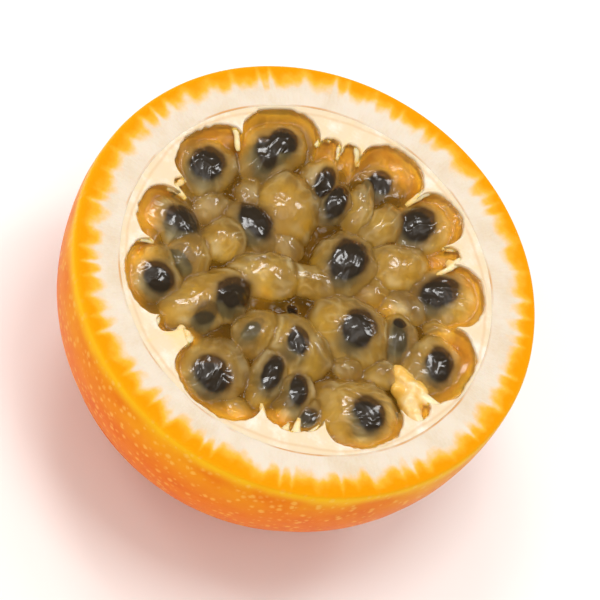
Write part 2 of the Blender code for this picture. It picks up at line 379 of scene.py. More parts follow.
def makeRindMaterial():
    material, tree, shader = newMaterial("rindSkinAndPith")
    place = objectPlace(tree)
    parts, radius, around = facePlace(tree, place)
    angle = mathNode(tree, "ARCTAN2", parts[1], parts[0])

    # The golden layer's inner edge: lobes of uneven width and depth round the face.
    wander = noiseAt(tree, around, 4.0, 1.0)
    phase = scaled(tree, angle, rindLook["teeth"] / (2.0 * math.pi), wander)
    shifted = scaled(tree, wander, rindLook["toothWander"], phase)
    lobe = mathNode(tree, "COSINE", product(tree, shifted, 2.0 * math.pi))
    lobe = mathNode(tree, "POWER", scaled(tree, lobe, 0.49, 0.5), rindLook["toothSharpness"])
    size = scaled(tree, noiseAt(tree, around, 17.0, 1.0), 1.9, -0.3)
    bite = product(tree, product(tree, lobe, size), rindLook["toothDepth"])
    slow = scaled(tree, noiseAt(tree, around, 1.3), 1.2 * mm, -0.6 * mm)
    ragged = scaled(tree, noiseAt(tree, place, 430.0, 3.0), 3.0 * mm, -1.5 * mm)
    edge = mathNode(tree, "ADD", mathNode(tree, "ADD", bite, slow), ragged)
    beyond = mathNode(tree, "SUBTRACT", radius, mathNode(tree, "ADD", edge, rindLook["goldEdge"]))
    goldness = smoothStep(tree, beyond, -rindLook["goldBlur"], rindLook["goldBlur"])
    deepGold = smoothStep(tree, beyond, 0.2 * mm, 2.4 * mm)

    streaks = addNode(tree, "ShaderNodeCombineXYZ", None, X=product(tree, angle, 60.0),
                      Y=product(tree, radius, 350.0), Z=0.0).outputs[0]
    fibre = noiseAt(tree, streaks, 1.6, 3.0, 0.6)
    speckle = noiseAt(tree, place, 2600.0, 2.0, 0.6)
    pithShare = scaled(tree, fibre, 0.5, product(tree, speckle, 0.35))
    blotch = scaled(tree, noiseAt(tree, place, 220.0), 0.7, product(tree, pithShare, 0.45))
    pith = mixColour(tree, smoothStep(tree, blotch, 0.4, 0.8), rindLook["pith"], rindLook["pithShade"])

    # The broken seam where the lining comes off the pith.
    wobble = scaled(tree, noiseAt(tree, around, 2.0, 3.0), 0.7 * mm, fruit["rindInner"] - 0.2 * mm)
    seam = smoothStep(tree, apartFrom(tree, radius, wobble), rindLook["seamWidth"], 0.03 * mm)
    seam = product(tree, seam, smoothStep(tree, noiseAt(tree, around, 3.0, 4.0), 0.42, 0.66))
    pith = mixColour(tree, seam, pith, rindLook["seam"])
    gold = mixColour(tree, deepGold, rindLook["goldPale"], rindLook["gold"])
    face = mixColour(tree, goldness, pith, gold)

    # The skin: mottled orange, more golden by the cut, with pale flecks.
    top = fruit["faceHeight"]
    high = smoothStep(tree, parts[2], top - rindLook["goldSkinDepth"], top)
    mottle = noiseAt(tree, place, 170.0, 6.0, 0.62)
    skin = mixColour(tree, smoothStep(tree, mottle, 0.35, 0.7), rindLook["skinOrange"], rindLook["skinRose"])
    goldShare = product(tree, high, smoothStep(tree, noiseAt(tree, place, 110.0, 4.0), 0.2, 0.75))
    skin = mixColour(tree, goldShare, skin, rindLook["skinGold"])
    byRim = smoothStep(tree, scaled(tree, mottle, 3.0 * mm, parts[2]), top - 2.2 * mm, top + 1.0 * mm)
    skin = mixColour(tree, byRim, skin, rindLook["rim"])
    slender = addNode(tree, "ShaderNodeVectorMath", {"operation": "MULTIPLY"}, i0=place, i1=(1.0, 1.0, 0.8))
    cells = addNode(tree, "ShaderNodeTexVoronoi", {"feature": "F1"}, Vector=slender.outputs[0],
                    Scale=rindLook["fleckScale"], Randomness=1.0)
    spread = addNode(tree, "ShaderNodeSeparateColor", None, i0=cells.outputs["Color"]).outputs[0]
    fleckSize = scaled(tree, spread, rindLook["fleckSize"], -0.07)
    frayed = scaled(tree, noiseAt(tree, place, 2400.0, 1.0), 0.3, cells.outputs["Distance"])
    fleck = smoothStep(tree, mathNode(tree, "SUBTRACT", frayed, fleckSize), 0.42, 0.0)
    skin = mixColour(tree, product(tree, fleck, rindLook["fleckStrength"]), skin, rindLook["fleck"])

    onFace = pointValue(tree, "cutFace")
    pores = noiseAt(tree, place, 1500.0, 3.0, 0.6)
    skinHeight = scaled(tree, fleck, 0.5, product(tree, pores, 0.5))
    faceHeight = mathNode(tree, "ADD", speckle, product(tree, fibre, 0.8))
    height = mixNumber(tree, onFace, skinHeight, faceHeight)
    addBump(tree, shader, height, rindLook["bump"], rindLook["bumpDepth"])
    rough = mixNumber(tree, onFace, rindLook["skinRoughness"], rindLook["faceRoughness"])
    setShader(tree, shader, {"Base Color": mixColour(tree, onFace, skin, face), "Roughness": rough})
    setShader(tree, shader, rindLook["finish"])
    return material


liningLook = {
    "cream": rgb(229, 208, 175),
    "pale": rgb(240, 228, 210),
    "line": rgb(216, 176, 126),
    "butter": rgb(246, 208, 140),
    "amber": rgb(240, 190, 90),
    "linePlace": 26.2 * mm,
    "lineWander": 2.4 * mm,
    "lineWidth": 0.4 * mm,
    "lineStrength": 0.42,
    "bump": 0.35,
    "bumpDepth": 0.15 * mm,
    "finish": {
        "Roughness": 0.35,
        "Subsurface Weight": 0.3,
        "Subsurface Radius": (1.0, 0.7, 0.4),
        "Subsurface Scale": 0.7 * mm,
        "Coat Weight": 0.18,
        "Coat Roughness": 0.12,
    },
}


def makeLiningMaterial():
    material, tree, shader = newMaterial("wetMembrane")
    place = objectPlace(tree)
    _, radius, around = facePlace(tree, place)
    depth = pointValue(tree, "depth")
    mottle = noiseAt(tree, place, 420.0, 3.0)
    inward = smoothStep(tree, radius, 26.0 * mm, 21.0 * mm)
    nearEdge = smoothStep(tree, depth, 0.04, 0.7)
    fibre = noiseAt(tree, around, 26.0, 3.0, 0.6)
    butter = scaled(tree, mottle, 0.8, scaled(tree, inward, 0.6, -0.4))
    butter = scaled(tree, nearEdge, 0.5, butter)
    butter = scaled(tree, fibre, 0.9, mathNode(tree, "ADD", butter, -0.45))
    pale = smoothStep(tree, noiseAt(tree, place, 240.0, 4.0, 0.65), 0.45, 0.7)
    cream = mixColour(tree, pale, liningLook["cream"], liningLook["pale"])
    wobble = scaled(tree, noiseAt(tree, around, 1.7, 3.0), liningLook["lineWander"], liningLook["linePlace"])
    line = smoothStep(tree, apartFrom(tree, radius, wobble), liningLook["lineWidth"], 0.0)
    cream = mixColour(tree, product(tree, line, liningLook["lineStrength"]), cream, liningLook["line"])
    colour = mixColour(tree, smoothStep(tree, butter, 0.0, 0.7), cream, liningLook["butter"])
    stain = scaled(tree, mottle, 1.2, depth)
    colour = mixColour(tree, smoothStep(tree, stain, 0.8, 4.0), colour, liningLook["amber"])
    addBump(tree, shader, noiseAt(tree, place, 900.0, 3.0), liningLook["bump"], liningLook["bumpDepth"])
    setShader(tree, shader, {"Base Color": colour, **liningLook["finish"]})
    return material


fibreLook = {
    "cream": rgb(240, 222, 176),
    "honey": rgb(230, 180, 74),
    "bump": 0.5,
    "bumpDepth": 0.2 * mm,
    "finish": {
        "Roughness": 0.4,
        "Subsurface Weight": 0.6,
        "Subsurface Radius": (1.0, 0.75, 0.4),
        "Subsurface Scale": 0.9 * mm,
        "Coat Weight": 0.5,
        "Coat Roughness": 0.1,
    },
}


def makeFibreMaterial():
    material, tree, shader = newMaterial("softFibre")
    place = objectPlace(tree)
    depth = pointValue(tree, "depth")
    share = scaled(tree, noiseAt(tree, place, 480.0, 3.0), 2.2, depth)
    colour = mixColour(tree, smoothStep(tree, share, 1.8, 3.2), fibreLook["cream"], fibreLook["honey"])
    addBump(tree, shader, noiseAt(tree, place, 900.0), fibreLook["bump"], fibreLook["bumpDepth"])
    setShader(tree, shader, {"Base Color": colour, **fibreLook["finish"]})
    return material


jellyLook = {
    "clear": rgb(246, 216, 106),
    "olive": rgb(206, 190, 116),
    # pale: membrane colour on ridges and rims, partly a painted highlight where they catch the light.
    "pale": rgb(255, 242, 196),
    # crease: painted shade for the creases and gaps between arils; creaseGlow: that painted shade, golden
    # where a painted glow lies.
    "crease": rgb(114, 94, 6),
    "creaseGlow": rgb(226, 182, 66),
    "smoke": rgb(182, 162, 112),
    "dark": rgb(62, 48, 31),
    "through": rgb(255, 248, 220),
    "depth": rgb(228, 208, 78),
    "density": 190.0,
    "core": rgb(216, 190, 98),
    "coreDeep": rgb(162, 128, 30),
    # glow, glowDeep: the pulp's painted glow, where light through the jelly would fall on it.
    "glow": rgb(252, 206, 84),
    "glowDeep": rgb(226, 166, 32),
    "seed": rgb(60, 47, 34),
    "seedPale": rgb(128, 114, 96),
    "rippleScale": 370.0,
    "rippleDepth": 0.36 * mm,
    "ripple": 0.58,
    "roughness": 0.36,
    "clearness": 0.92,
    "finish": {
        "IOR": 1.34,
        "Specular IOR Level": 0.2,
        "Coat Roughness": 0.15,
        "Coat IOR": 1.68,
    },
    "coreFinish": {
        "Roughness": 0.5,
        "Subsurface Weight": 0.3,
        "Subsurface Radius": (1.0, 0.9, 0.6),
        "Subsurface Scale": 1.0 * mm,
        "Specular IOR Level": 0.1,
    },
    "seedFinish": {
        "Roughness": 0.5,
        "Specular IOR Level": 0.2,
    },
}


def makeJellyMaterial():
    material, tree, shader = newMaterial("clearJelly")
    place = objectPlace(tree)
    near = pointValue(tree, "seedNear")
    # Golden rather than olive: partly each aril's own tone, partly a painted glow by the wall and in the
    # golden places.
    gold = pointValue(tree, "gold")
    tint = mixColour(tree, gold, jellyLook["olive"], jellyLook["clear"])
    # Pale membranes and clouds, up the ridges and along the rims of the arils, partly a painted highlight
    # where rims catch the light; less over seeds and in creases.
    ridge = pointValue(tree, "ridge")
    cloud = smoothStep(tree, noiseAt(tree, place, 420.0, 3.0), 0.5, 0.8)
    pale = mathNode(tree, "MAXIMUM", product(tree, cloud, 0.6), ridge)
    pale = product(tree, pale, scaled(tree, near, -0.7, 0.75))
    crease = pointValue(tree, "crease")
    pale = product(tree, pale, mathNode(tree, "SUBTRACT", 1.0, crease))
    tint = mixColour(tree, pale, tint, jellyLook["pale"])
    # Painted shade: creases and wide gaps between arils are darkened, golden instead where the painted glow
    # lies.
    creaseShadeTint = mixColour(tree, smoothStep(tree, gold, 0.6, 1.0), jellyLook["crease"], jellyLook["creaseGlow"])
    tint = mixColour(tree, product(tree, crease, 0.9), tint, creaseShadeTint)
    smoke = product(tree, smoothStep(tree, near, 0.0, 0.6), 0.75)
    tint = mixColour(tree, smoke, tint, jellyLook["smoke"])
    tint = mixColour(tree, smoothStep(tree, near, 0.42, 0.86), tint, jellyLook["dark"])
    ripples = noiseAt(tree, place, jellyLook["rippleScale"], 0.8)
    wet = scaled(tree, crease, -0.45, jellyLook["ripple"])
    addBump(tree, shader, ripples, wet, jellyLook["rippleDepth"])
    # Smoother where the gap is wide, so that no milky sheen lies on it.
    wideGap = smoothStep(tree, crease, 0.66, 0.92)
    setShader(tree, shader, {
        "Base Color": tint,
        "Roughness": scaled(tree, wideGap, -0.26, jellyLook["roughness"]),
        "Transmission Weight": scaled(tree, pale, -0.38, scaled(tree, near, -0.16, jellyLook["clearness"])),
        "Coat Weight": scaled(tree, crease, -1.05, 1.0),
        **jellyLook["finish"],
    })
    # Lamps shine through the jelly on to the seeds and the pulp in it.
    through = addNode(tree, "ShaderNodeBsdfTransparent", None, Color=jellyLook["through"])
    lamps = addNode(tree, "ShaderNodeLightPath").outputs["Is Shadow Ray"]
    mix = addNode(tree, "ShaderNodeMixShader", None, i0=lamps, i1=shader.outputs[0], i2=through.outputs[0])
    tree.links.new(mix.outputs[0], tree.nodes["Material Output"].inputs["Surface"])
    depth = addNode(tree, "ShaderNodeVolumeAbsorption", None, Color=jellyLook["depth"],
                    Density=jellyLook["density"])
    tree.links.new(depth.outputs[0], tree.nodes["Material Output"].inputs["Volume"])
    return material


def makeCoreMaterial():
    material, tree, shader = newMaterial("cloudyPulp")
    place = objectPlace(tree)
    depth = pointValue(tree, "depth")
    mottle = noiseAt(tree, place, 260.0, 2.5, 0.5)
    deep = smoothStep(tree, scaled(tree, mottle, 4.0, depth), 4.4, 8.2)
    colour = mixColour(tree, deep, jellyLook["core"], jellyLook["coreDeep"])
    # Painted glow: the pulp turns a brighter amber by the wall and in the golden places, where light through
    # the jelly would fall on it.
    glow = pointValue(tree, "glow")
    amber = mixColour(tree, smoothStep(tree, mottle, 0.4, 0.7), jellyLook["glow"], jellyLook["glowDeep"])
    colour = mixColour(tree, smoothStep(tree, glow, 0.15, 0.8), colour, amber)
    setShader(tree, shader, {"Base Color": colour, **jellyLook["coreFinish"]})
    return material


def makeSeedMaterial():
    material, tree, shader = newMaterial("pittedSeed")
    place = objectPlace(tree)
    mottle = noiseAt(tree, place, 620.0, 2.0)
    colour = mixColour(tree, smoothStep(tree, mottle, 0.55, 0.8), jellyLook["seed"], jellyLook["seedPale"])
    setShader(tree, shader, {"Base Color": colour, **jellyLook["seedFinish"]})
    return material


rindMaterial = makeRindMaterial()
liningMaterial = makeLiningMaterial()
fibreMaterial = makeFibreMaterial()
jellyMaterial = makeJellyMaterial()
coreMaterial = makeCoreMaterial()
seedMaterial = makeSeedMaterial()

print("rind")

rindShape = {
    "columns": 640,
    "skinRows": 70,
    "faceRows": 30,
    "innerRows": 14,
    "rimRounding": 0.9 * mm,
    "creaseWidth": 0.03 * mm,
    "unevenness": 0.2 * mm,
    "waves": 75.0,
    "grain": 0.03 * mm,
    "grainWaves": 420.0,
}


def ballArc(radius, startAngle, endAngle, count):
    angles = np.radians(np.linspace(startAngle, endAngle, count))
    return [(radius * math.cos(a), ballHeight + radius * math.sin(a)) for a in angles]


def makeRind():
    top = fruit["faceHeight"]
    skin = fruit["skinRadius"]
    inner = fruit["rindInner"]
    rounding = rindShape["rimRounding"]
    faceEdge = math.sqrt(skin ** 2 - fruit["centreDrop"] ** 2)
    footAngle = -math.degrees(math.asin(ballHeight / skin))
    profile = ballArc(inner, -88.0, 0.0, rindShape["innerRows"])
    profile += [(inner, top - 2.0 * mm), (inner, top - rindShape["creaseWidth"])]
    zone = [1.0] * len(profile)
    start = inner + rindShape["creaseWidth"]
    for share in (0.0, 0.004, *np.linspace(0.0, 1.0, rindShape["faceRows"])[1:]):
        profile.append((start + (faceEdge - rounding - start) * share, top))
        zone.append(1.0)
    for turn in (22.5, 45.0, 67.5, 85.0):
        a = math.radians(turn)
        profile.append((faceEdge - rounding * (1.0 - math.sin(a)), top - rounding * (1.0 - math.cos(a))))
        zone.append(1.0 - (turn / 90.0) ** 2)
    rimAngle = math.degrees(math.asin((fruit["centreDrop"] - 1.3 * rounding) / skin))
    for point in ballArc(skin, rimAngle, footAngle, rindShape["skinRows"]):
        profile.append(point)
        zone.append(0.0)
    footEdge = profile[-1][0]
    for share in (0.9, 0.6, 0.3):
        profile.append((footEdge * share, 0.0))
        zone.append(0.0)
    columns = rindShape["columns"]
    rows = len(profile)
    points = []
    for distance, height in profile:
        onSkin = distance > inner + 2.0 * mm or height < 2.0 * mm
        onSkin = onSkin and 0.3 * mm < height < top - 0.01 * mm
        for column in range(columns):
            a = 2.0 * math.pi * column / columns
            x = math.cos(a)
            y = math.sin(a)
            grow = 0.0
            if onSkin:
                place = Vector((x * distance, y * distance, height))
                wave = noise.noise(place * rindShape["waves"])
                fine = noise.noise(place * rindShape["grainWaves"])
                share = min(1.0, (top - height) / (2.0 * mm))
                grow = (rindShape["unevenness"] * (wave - 0.6) + rindShape["grain"] * fine) * share
            points.append(((distance + grow) * x, (distance + grow) * y, height))
    points.append((0.0, 0.0, ballHeight - inner))
    points.append((0.0, 0.0, 0.0))
    faces = turnedFaces(rows, columns, len(points) - 2, len(points) - 1)
    piece = addPiece("rindBowl", points, faces, rindMaterial)
    setValues(piece, "cutFace", np.append(np.repeat(np.array(zone), columns), (1.0, 0.0)))
    return piece


rindPiece = makeRind()

print("lining")

liningShape = {
    "columns": 1080,
    "wallRows": 34,
    "rimRows": 9,
    "outerRows": 8,
    "crestRounding": 0.4 * mm,
    "sway": 3.0,
    "ripple": 0.35,
    "fineRipple": 0.22,
    "swell": 0.14 * mm,
}


def makeLining():
    top = fruit["faceHeight"]
    inner = fruit["liningInner"]
    outer = fruit["liningOuter"]
    columns = liningShape["columns"]
    angles = np.linspace(0.0, 360.0, columns, endpoint=False)
    rimX = np.cos(np.radians(angles))
    rimY = np.sin(np.radians(angles))
    # The folds lean a little one way and the other, as soft skin does.
    sway = noiseField(rimX, rimY, 2.2, 4.0) * liningShape["sway"]
    points = []
    depths = []

    def addRow(distance, height, swing=0.0):
        turned = np.radians(angles + swing)
        for a, r, z in zip(turned, distance, height):
            points.append((r * math.cos(a), r * math.sin(a), z))
            depths.append((top - z) / mm)

    rounding = liningShape["crestRounding"]
    full = wallReach(angles) * mm
    lean = sway * np.clip((27.0 * mm - full) / (5.0 * mm), 0.0, 1.0)
    startAngle = math.degrees(math.asin((fruit["centreDrop"] - rounding) / inner))
    wallAngles = startAngle + (-88.0 - startAngle) * np.linspace(0.0, 1.0, liningShape["wallRows"]) ** 1.7
    for wall in wallAngles[::-1]:
        a = math.radians(wall)
        height = ballHeight + inner * math.sin(a)
        depth = max(0.0, (top - height) / mm)
        near = min(1.0, inner * math.cos(a) / (8.0 * mm))
        distance = wallReach(angles, depth) * mm * near + inner * math.cos(a) * (1.0 - near)
        ripples = liningShape["ripple"] * noiseField(rimX, rimY, 9.0, depth * 0.35)
        ripples = ripples + liningShape["fineRipple"] * noiseField(rimX, rimY, 34.0, depth + 7.0)
        distance = distance + ripples * mm * near
        distance = np.minimum(distance, (outer - 0.25 * mm) * max(math.cos(a), 0.02))
        addRow(distance, np.full(columns, height),
               lean * np.clip(1.0 - depth / foldShape["fadeDepth"], 0.0, 1.0))
    first = np.array([math.hypot(x, y) for x, y, _ in points[-columns:]])
    room = np.clip((outer - 0.05 * mm - first) / (1.2 * rounding), 0.1, 1.0)
    for turn in (25.0, 50.0, 75.0, 90.0):
        a = math.radians(turn)
        addRow(first + rounding * (1.0 - math.cos(a)) * room,
               np.full(columns, top) - rounding * (1.0 - math.sin(a)), lean)
    crest = first + rounding * room
    for share in (*np.linspace(0.0, 1.0, liningShape["rimRows"])[1:-1], 0.97, 0.995, 1.0):
        distance = crest + (outer - crest) * share
        swell = noiseField(rimX * distance, rimY * distance, 330.0, 3.0)
        height = top - 0.02 * mm - (0.04 * mm - swell * liningShape["swell"]) * (1.0 - share)
        addRow(distance, height, lean * (1.0 - share))
    for wall in np.linspace(5.0, -88.0, liningShape["outerRows"]):
        a = math.radians(wall)
        addRow(np.full(columns, outer * math.cos(a)), np.full(columns, ballHeight + outer * math.sin(a)))
    rows = len(points) // columns
    points.append((0.0, 0.0, ballHeight - inner))
    points.append((0.0, 0.0, ballHeight - outer))
    depths.extend((30.0, 30.0))
    faces = turnedFaces(rows, columns, len(points) - 2, len(points) - 1)
    piece = addPiece("liningMembrane", points, faces, liningMaterial)
    setValues(piece, "depth", depths)
    return piece


liningPiece = makeLining()

print("jelly")

jellyShape = {
    "grid": 300,
    "radius": 27.9,
    "fullness": 1.04,
    "flatness": 0.75,
    "depthRatio": 0.95,
    "crease": 0.18,
    "warp": 0.9,
    "fineWarp": 0.35,
    "levelWaves": 0.9,
    "shoreReach": 1.2,
    "ridge": 0.24,
    "wrinkle": 0.09,
    "sharpness": 0.008,
    # How dark the painted shade is at a crease and in a wide gap, and how far from a crease it reaches in mm.
    "creaseShade": 0.65,
    "creaseReach": 0.45,
    "gapShade": 0.92,
    "glowReach": 2.3,
    "glowOfSpot": 0.55,
    "goldSpread": 0.55,
    "goldWaves": 0.35,
    "middleLevel": -3.2,
    "wallLevel": -1.9,
    "shoreLevel": -0.5,
    "coreUnder": 3.3,
    "coreUnderByWall": 1.0,
    "coreRough": 0.4,
    "coreDip": 1.2,
    "coreGrid": 110,
}


def pastWall(x, y):
    # How far outside the lining's inner side a place on the face lies, in mm.
    return np.hypot(x, y) - wallReach(np.degrees(np.arctan2(y, x)))


def shoreShare(x, y, reach):
    # 1 at the lining's wall, falling off inward over the reach in mm.
    inside = -pastWall(x, y)
    return np.exp(-np.clip(inside, 0.0, None) / reach)


def ovalPlace(x, y, middleX, middleY, turn):
    # Distances from an oval's middle, along its length and across it.
    c = math.cos(math.radians(turn))
    s = math.sin(math.radians(turn))
    return (x - middleX) * c + (y - middleY) * s, (y - middleY) * c - (x - middleX) * s


def wrinkleAt(x, y, scale, seed):
    # Near 1 along thin wandering lines, and low between them.
    return 1.0 - 2.0 * np.sqrt(noiseField(x, y, scale, seed) ** 2 + jellyShape["sharpness"])


def jellyHeight(x, y, full=False):
    # Height of the jelly over the cut face, in mm, at places on the face in mm. In full it also gives
    # how near each place is to a gap between arils, its aril's number, and how far it is up a ridge or rim.
    warp = jellyShape["warp"]
    fineWarp = jellyShape["fineWarp"]
    warpX = x + warp * noiseField(x, y, 0.22, 3.1) + fineWarp * noiseField(x, y, 0.7, 13.1)
    warpY = y + warp * noiseField(x, y, 0.22, 8.7) + fineWarp * noiseField(x, y, 0.7, 18.7)
    radius = np.hypot(x, y)
    share = np.clip(radius / jellyShape["radius"], 0.0, 1.0)
    level = jellyShape["middleLevel"] + (jellyShape["wallLevel"] - jellyShape["middleLevel"]) * share ** 3
    level = level + jellyShape["levelWaves"] * noiseField(x, y, 0.35, 5.5)
    shore = shoreShare(x, y, jellyShape["shoreReach"])
    level = level + (jellyShape["shoreLevel"] - level) * shore
    crease = jellyShape["crease"]
    total = np.exp(level / crease)
    best = level.copy()
    second = np.full_like(level, -20.0)
    winner = np.full(len(x), -1)
    ridge = np.zeros_like(level)
    flatness = jellyShape["flatness"]
    edge = math.sqrt(1.0 - flatness)
    for index, (ax, ay, halfLength, halfWidth, turn, rise) in enumerate(arils):
        a = halfLength * jellyShape["fullness"]
        b = halfWidth * jellyShape["fullness"]
        depth = jellyShape["depthRatio"] * 0.5 * (a + b)
        along, across = ovalPlace(warpX, warpY, ax, ay, turn)
        u = (along / a) ** 2 + (across / b) ** 2
        drop = 1.0 - np.sqrt(1.0 - flatness * np.minimum(u, 1.0))
        drop = drop + 0.5 * flatness / edge * np.clip(u - 1.0, 0.0, None)
        height = rise - depth * drop
        total += np.exp(np.clip(height, -30.0, 5.0) / crease)
        taken = height > best
        second = np.where(taken, best, np.maximum(second, height))
        if taken.any():
            la = along[taken]
            ac = across[taken]
            bend = 0.9 * noiseField(la, ac, 0.3, 2.0 + 7.3 * index)
            fold = wrinkleAt(la * 0.3, (ac + bend) * 0.8, 1.0, 11.3 * index)
            patch = np.clip(0.5 + 2.0 * noiseField(la, ac, 0.3, 5.1 * index), 0.15, 1.0)
            ridge[taken] = fold ** 3 * patch
            best[taken] = height[taken]
            winner[taken] = index
    fine = wrinkleAt(warpX, warpY, 0.8, 31.0)
    height = crease * np.log(total) + jellyShape["ridge"] * ridge + jellyShape["wrinkle"] * fine ** 2
    if full:
        apart = best - second
        # How near each place is to a crease or a wide gap, which the jelly's material darkens as painted
        # shade, less by the wall.
        gap = np.maximum(jellyShape["creaseShade"] * np.exp(-apart / jellyShape["creaseReach"]),
                         np.where(winner < 0, jellyShape["gapShade"], 0.0))
        gap = gap * (1.0 - 0.85 * shoreShare(x, y, 2.4))
        # A pale rim just inside each aril's edge: partly membrane, partly a painted highlight where the edge
        # catches the light.
        rim = np.exp(-((apart - 1.1) / 0.7) ** 2)
        rim = rim * np.clip(0.3 + 1.5 * noiseField(x, y, 0.33, 51.0), 0.0, 1.0)
        return height, gap, winner, np.where(winner < 0, 0.0, np.maximum(ridge, rim))
    return height


def discGrid(count, radius):
    # A square grid bent into a disc, so that its cells stay nearly even.
    line = np.linspace(-1.0, 1.0, count)
    u, v = np.meshgrid(line, line)
    u = u.ravel()
    v = v.ravel()
    wide = np.abs(u) >= np.abs(v)
    safeU = np.where(np.abs(u) < 1e-9, 1e-9, u)
    safeV = np.where(np.abs(v) < 1e-9, 1e-9, v)
    reach = np.where(wide, u, v)
    angle = np.where(wide, (math.pi / 4.0) * (v / safeU), (math.pi / 2.0) - (math.pi / 4.0) * (u / safeV))
    return radius * reach * np.cos(angle), radius * reach * np.sin(angle)


def gridFaces(count):
    corners = [row * count + column for row in range(count - 1) for column in range(count - 1)]
    return [(a, a + 1, a + count + 1, a + count) for a in corners]


def rimOf(count):
    # Numbers of the grid's border points, in order round it.
    low = list(range(count))
    right = [row * count + count - 1 for row in range(1, count)]
    high = [count * (count - 1) + column for column in range(count - 2, -1, -1)]
    left = [row * count for row in range(count - 2, 0, -1)]
    return low + right + high + left


def seedShade(x, y):
    # 1 over the middle of a seed, falling to 0 a little outside it.
    shade = np.zeros_like(x)
    ragged = noiseField(x, y, 0.6, 61.0)
    for sx, sy, halfLength, halfWidth, turn, under in seeds:
        along, across = ovalPlace(x, y, sx, sy, turn)
        rho = np.sqrt((along / halfLength) ** 2 + (across / halfWidth) ** 2) + 0.16 * ragged
        shade = np.maximum(shade, np.clip((1.55 - rho) / 0.8, 0.0, 1.0) * min(1.0, 1.4 - 0.45 * under))
    return shade


# Places where the jelly and the pulp under it get a painted golden glow, as if lit from behind: x and y on
# the face, and reach, in mm.
goldSpots = [
    (-19.2, 15.6, 2.2),
    (-5.2, 22.4, 2.6),
    (-21.6, -11.0, 2.4),
    (-8.8, -17.8, 1.8),
    (-3.8, -4.2, 2.4),
    (19.6, -2.8, 2.2),
    (8.2, -20.2, 2.2),
    (2.4, -24.2, 2.4),
    (22.6, 7.0, 2.4),
    (-22.6, 13.0, 2.0),
    (12.4, 5.4, 2.4),
    (-24.0, -5.0, 2.6),
    (1.0, 25.5, 3.0),
    (14.6, 17.0, 1.8),
]


def goldGlow(x, y):
    # 1 where light from behind makes the jelly golden: in a few places, and along the wall.
    share = shoreShare(x, y, jellyShape["glowReach"])
    for gx, gy, reach in goldSpots:
        share = share + jellyShape["glowOfSpot"] * np.exp(-((x - gx) ** 2 + (y - gy) ** 2) / reach ** 2)
    return np.clip(share, 0.0, 1.0)


def goldShare(x, y, winner):
    # How golden, rather than olive, the jelly is: by aril, and more where it glows.
    rng = random.Random(11)
    each = np.array([rng.uniform(0.0, jellyShape["goldSpread"]) for _ in arils] + [0.3])
    gold = each[winner] + jellyShape["goldWaves"] * noiseField(x, y, 0.3, 21.0) + goldGlow(x, y)
    return np.clip(gold, 0.0, 1.0)


def makeJelly():
    count = jellyShape["grid"]
    x, y = discGrid(count, jellyShape["radius"])
    top = fruit["faceHeight"] / mm
    z, crease, winner, ridge = jellyHeight(x, y, full=True)
    under = np.clip((pastWall(x, y) - 0.25) / 0.5, 0.0, 1.0)
    z = z * (1.0 - under) + np.minimum(z, -0.8) * under
    points = list(zip(x * mm, y * mm, (top + z) * mm))
    faces = gridFaces(count)
    closeBelow(points, faces, rimOf(count), x, y, jellyShape["radius"], (-20.0, -38.0, -56.0, -72.0))
    piece = addPiece("arilJelly", points, faces, jellyMaterial)
    extra = np.zeros(len(points) - len(x))
    setValues(piece, "seedNear", np.append(seedShade(x, y), extra))
    setValues(piece, "gold", np.append(goldShare(x, y, winner), extra))
    setValues(piece, "crease", np.append(crease, extra))
    setValues(piece, "ridge", np.append(ridge, extra))
    return piece


def closeBelow(points, faces, rim, x, y, reach, elevations):
    # A bowl of the given radius in mm under a disc, so that the piece is closed.
    previous = rim
    for elevation in elevations:
        a = math.radians(elevation)
        ring = []
        for index in rim:
            across = math.hypot(x[index], y[index])
            r = reach * math.cos(a)
            ring.append(len(points))
            points.append((x[index] / across * r * mm, y[index] / across * r * mm,
                           ballHeight + reach * math.sin(a) * mm))
        for i in range(len(rim)):
            j = (i + 1) % len(rim)
            faces.append((previous[i], ring[i], ring[j], previous[j]))
        previous = ring
    pole = len(points)
    points.append((0.0, 0.0, ballHeight - reach * mm))
    for i in range(len(rim)):
        faces.append((previous[i], pole, previous[(i + 1) % len(rim)]))


def makeCore():
    # The cloudy pulp under the clear jelly: its top follows the arils at a depth and dips under the seeds.
    count = jellyShape["coreGrid"]
    reach = jellyShape["radius"] - 0.05
    x, y = discGrid(count, reach)
    top = fruit["faceHeight"] / mm
    glow = goldGlow(x, y)
    under = jellyShape["coreUnder"]
    z = jellyHeight(x, y) - under - (jellyShape["coreUnderByWall"] - under) * glow
    z += jellyShape["coreRough"] * (noiseField(x, y, 0.5, 41.0) + 0.5 * noiseField(x, y, 1.1, 43.0))
    for sx, sy, halfLength, halfWidth, _, _ in seeds:
        z -= jellyShape["coreDip"] * np.exp(-((x - sx) ** 2 + (y - sy) ** 2) / (halfLength * halfWidth * 1.6))
    points = list(zip(x * mm, y * mm, (top + z) * mm))
    faces = gridFaces(count)
    closeBelow(points, faces, rimOf(count), x, y, reach, (-25.0, -45.0, -65.0, -80.0))
    piece = addPiece("pulpCore", points, faces, coreMaterial)
    setValues(piece, "depth", [(top * mm - point[2]) / mm for point in points])
    setValues(piece, "glow", np.append(glow, np.ones(len(points) - len(x))))
    return piece


jellyPiece = makeJelly()
corePiece = makeCore()

print("funicles")

